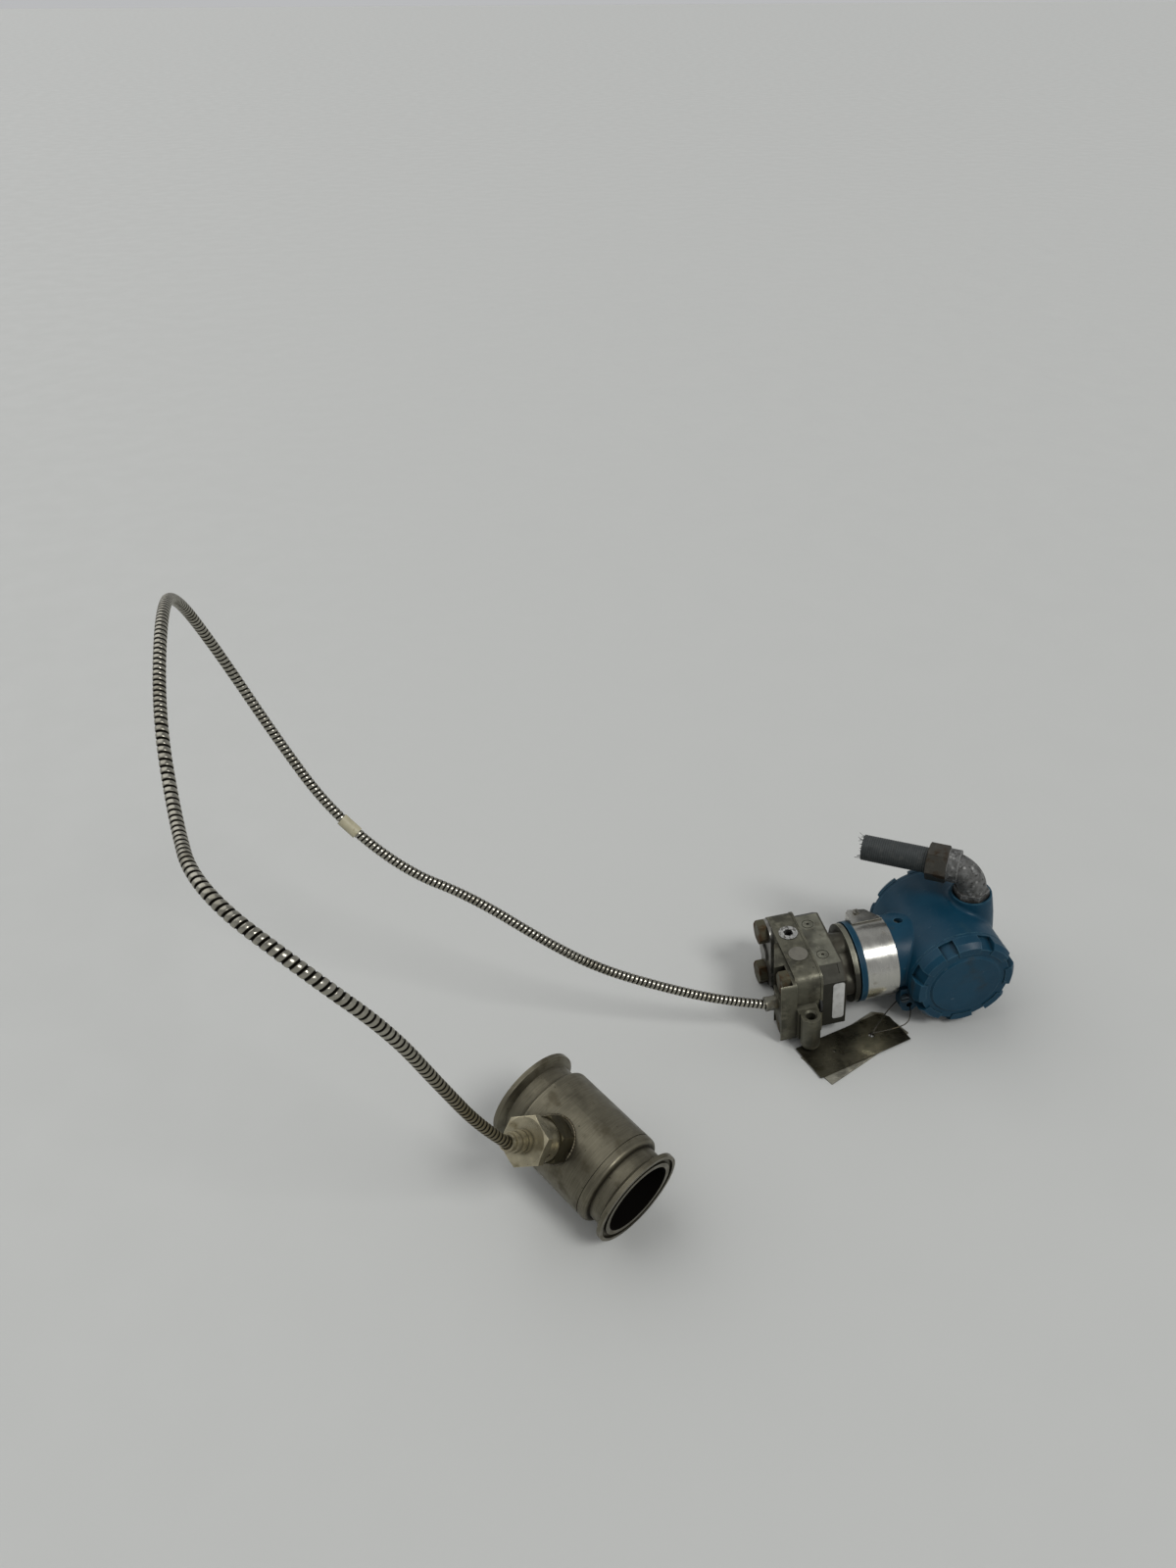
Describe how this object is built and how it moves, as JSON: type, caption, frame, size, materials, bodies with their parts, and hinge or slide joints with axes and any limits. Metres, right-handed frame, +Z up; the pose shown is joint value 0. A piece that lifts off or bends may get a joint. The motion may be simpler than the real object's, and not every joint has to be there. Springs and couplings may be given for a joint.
{
  "type": "pressure transmitter with remote seal",
  "caption": "Pressure transmitter lying on its side: round housing with screwed covers, bolted process flange, and an armoured capillary arching to an in-line tubular seal.",
  "frame": {"origin": "centre of the transmitter and seal in plan, on the floor they lie on", "axes": "+X along the neck from the flange to the housing, +Y from the front cover to the rear cover, +Z up"},
  "size_m": [0.5408, 0.3038, 0.352],
  "materials": {
    "blue_paint": "satin teal-blue enamel, lightly scuffed",
    "band_steel": "bright brushed stainless, bare",
    "screw_steel": "dull steel screws",
    "seal_rubber": "black rubber",
    "module_plastic": "black moulded",
    "terminal_plastic": "dark grey moulded",
    "module_steel": "fine brushed stainless with grime",
    "flange_steel": "matt cast stainless, olive-grey with grime",
    "bolt_steel": "dark steel with brown rust",
    "plug_steel": "bright scratched stainless",
    "disc_grey": "warm light grey",
    "label_white": "bare white label",
    "elbow_metal": "rough mottled casting",
    "nut_metal": "galvanised with rust at the edges",
    "jacket_grey": "dark grey, faint woven ridges",
    "liner_grey": "light grey lining",
    "seal_steel": "satin turned stainless, warm stain",
    "fitting_steel": "stainless with straw-coloured tarnish",
    "armour_steel": "strip-wound stainless",
    "splice_cream": "cream sleeve",
    "tag_steel": "dark bronze-grey plate, bare",
    "wire_steel": "thin bright wire"
  },
  "bodies": {
    "transmitter": {"electronics_housing": "blue_paint", "nameplate_band": "band_steel", "nameplate_screw": "screw_steel", "rotation_set_screw": "screw_steel", "ground_screw": "screw_steel", "electronics_module": "module_plastic", "terminal_block": "terminal_plastic", "terminal_screws": "screw_steel", "sensor_module": "module_steel", "neck_seal": "seal_rubber", "module_label": "label_white", "process_flange": "flange_steel", "process_gaskets": "seal_rubber", "flange_bolts": "bolt_steel", "vent_plug": "plug_steel", "blanking_disc": "disc_grey", "capillary_adapter": "flange_steel", "blank_plate": "plug_steel", "capillary_crimp": "fitting_steel", "conduit_elbow": "elbow_metal", "conduit_nut": "nut_metal", "conduit_jacket": "jacket_grey", "conduit_liner": "liner_grey", "lower_port_plug": "screw_steel", "seal_body": "seal_steel", "diaphragm_sleeve": "seal_steel", "seal_hex": "fitting_steel", "seal_nut": "fitting_steel", "seal_stub": "fitting_steel", "capillary_armour": "armour_steel", "splice_sleeve": "splice_cream", "upper_tag": "tag_steel", "lower_tag": "tag_steel", "tag_wire": "wire_steel"},
    "front_carrier": {"front_cover_seal": "seal_rubber"},
    "front_cover": {"front_cover": "blue_paint"},
    "rear_carrier": {"rear_cover_seal": "seal_rubber"},
    "rear_cover": {"rear_cover": "blue_paint"}
  },
  "joints": [
    {"name": "front_cover_travel", "type": "slide", "parent": "transmitter", "child": "front_carrier", "axis": [0, -1, 0], "range_m": [0, 0.01001]},
    {"name": "front_cover_turn", "type": "hinge", "parent": "front_carrier", "child": "front_cover", "pos_m": [0.1523, 0.06254, 0.04114], "axis": [0, -1, 0], "range_deg": [0, 1800]},
    {"name": "rear_cover_travel", "type": "slide", "parent": "transmitter", "child": "rear_carrier", "axis": [0, 1, 0], "range_m": [0, 0.01001]},
    {"name": "rear_cover_turn", "type": "hinge", "parent": "rear_carrier", "child": "rear_cover", "pos_m": [0.1523, 0.06254, 0.04114], "axis": [0, 1, 0], "range_deg": [0, 1800]}
  ],
  "couplings": [
    {"joint": "front_cover_travel", "follows": "front_cover_turn", "m_per_rad": 0.00031831},
    {"joint": "rear_cover_travel", "follows": "rear_cover_turn", "m_per_rad": 0.00031831}
  ]
}
